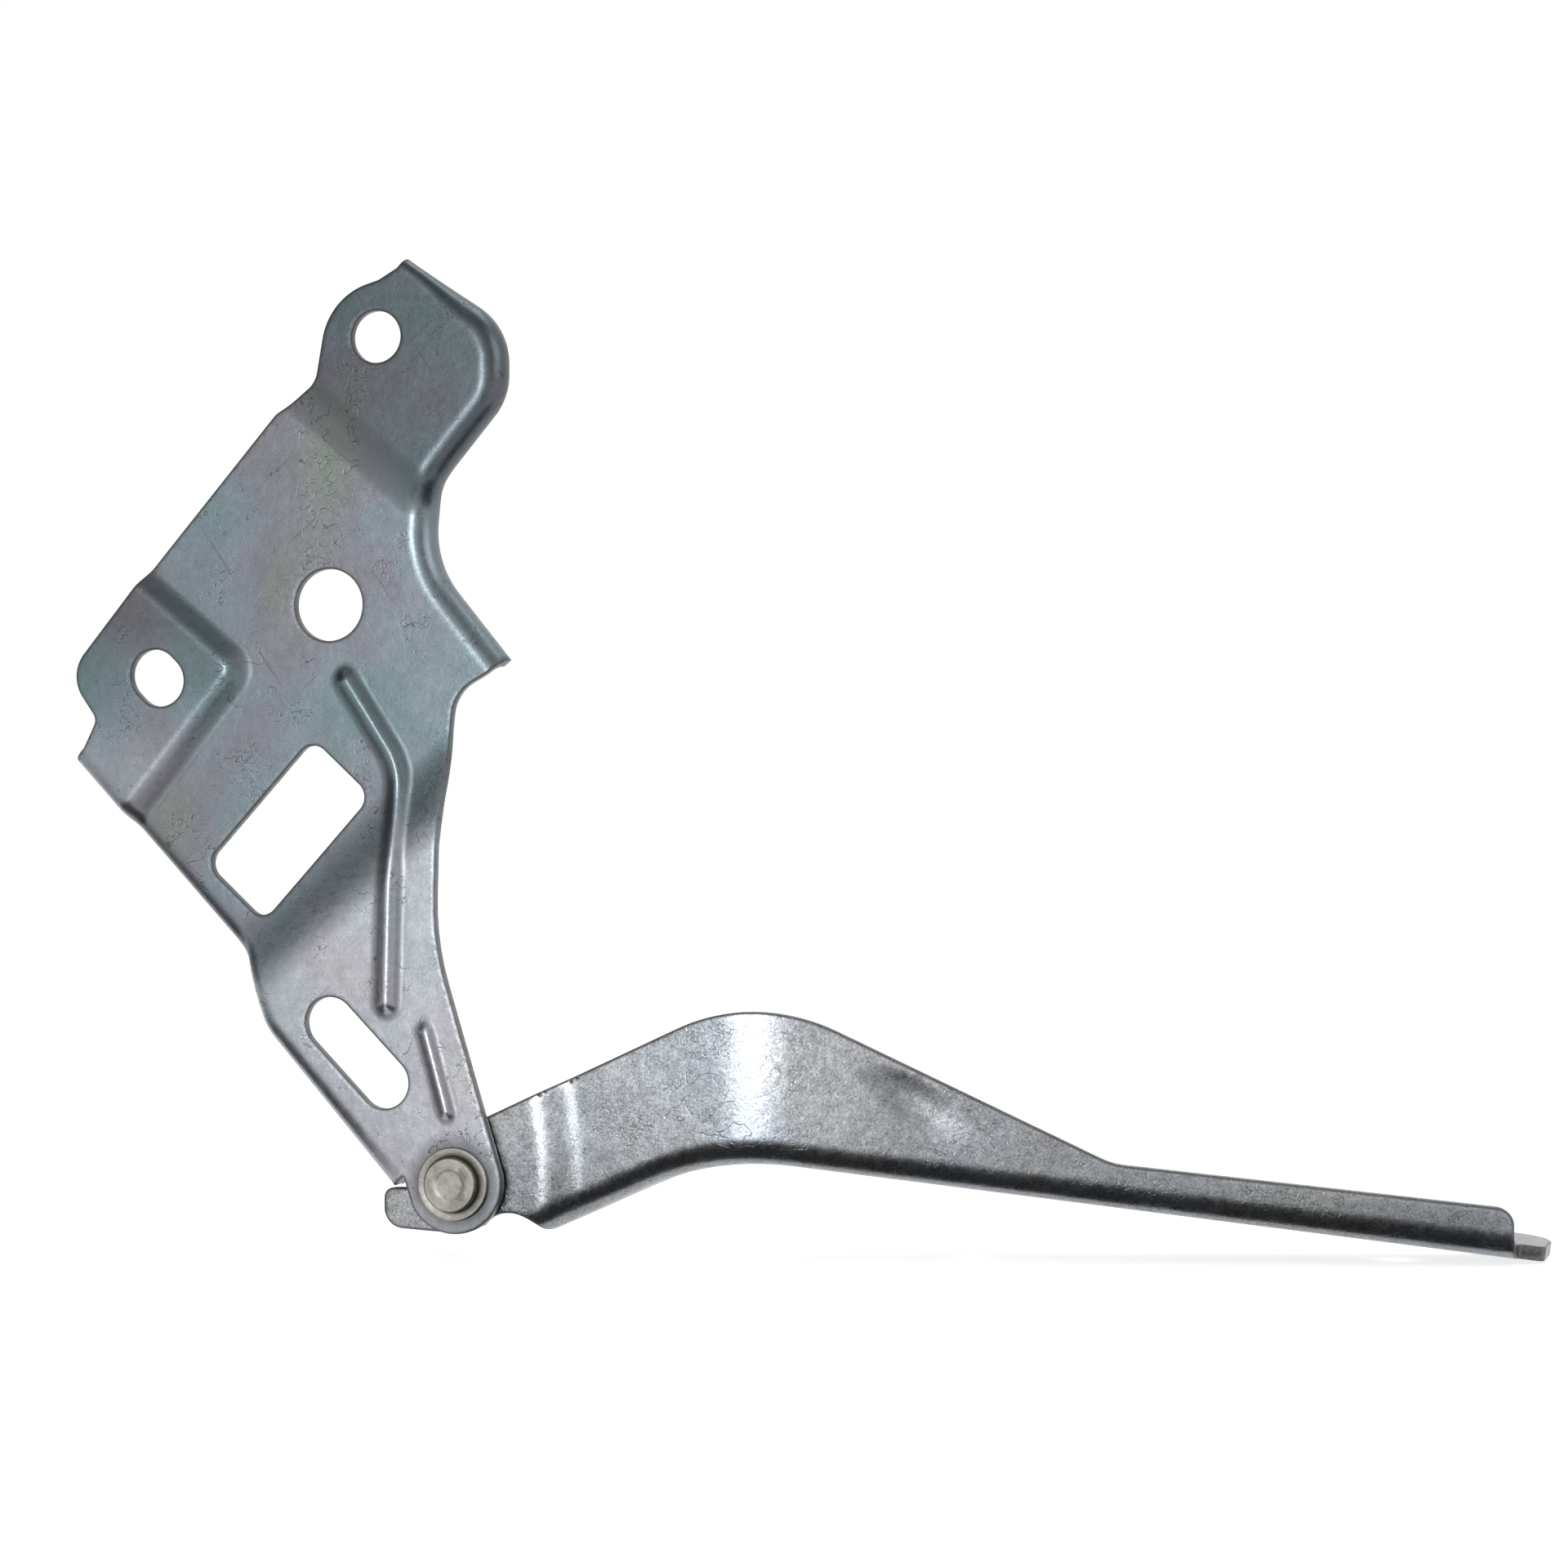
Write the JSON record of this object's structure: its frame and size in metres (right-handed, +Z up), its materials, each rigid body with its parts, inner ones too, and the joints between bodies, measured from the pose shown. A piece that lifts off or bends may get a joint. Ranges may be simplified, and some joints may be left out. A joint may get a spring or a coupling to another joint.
{
  "type": "hood hinge",
  "caption": "Pressed steel hood hinge: a body bracket with stepped pads and windows, and a long cranked arm on a riveted pivot.",
  "frame": {"origin": "centre of the upper body bolt hole, on the face that seats against the body", "axes": "+X to the right and +Z up as the hinge is seen from the body side with the arm fully open, +Y away from the body, along the bolt holes and the pivot"},
  "size_m": [0.3227, 0.075, 0.2189],
  "materials": {
    "bracket_zinc": "zinc plated and passivated, faintly iridescent, satin",
    "arm_zinc": "zinc plated, bright satin with fine spangle",
    "pivot_zinc": "plated, worn and slightly greasy"
  },
  "bodies": {
    "bracket": {"body_bracket": "bracket_zinc", "pivot_rivet": "pivot_zinc", "head_washer": "pivot_zinc"},
    "arm": {"hood_arm": "arm_zinc", "pivot_bush": "pivot_zinc", "thrust_washer": "pivot_zinc"}
  },
  "joints": [
    {"name": "hood_pivot", "type": "hinge", "parent": "bracket", "child": "arm", "pos_m": [0.0186, 0.004, -0.186], "axis": [0, -1, 0], "range_deg": [0, 57]}
  ]
}
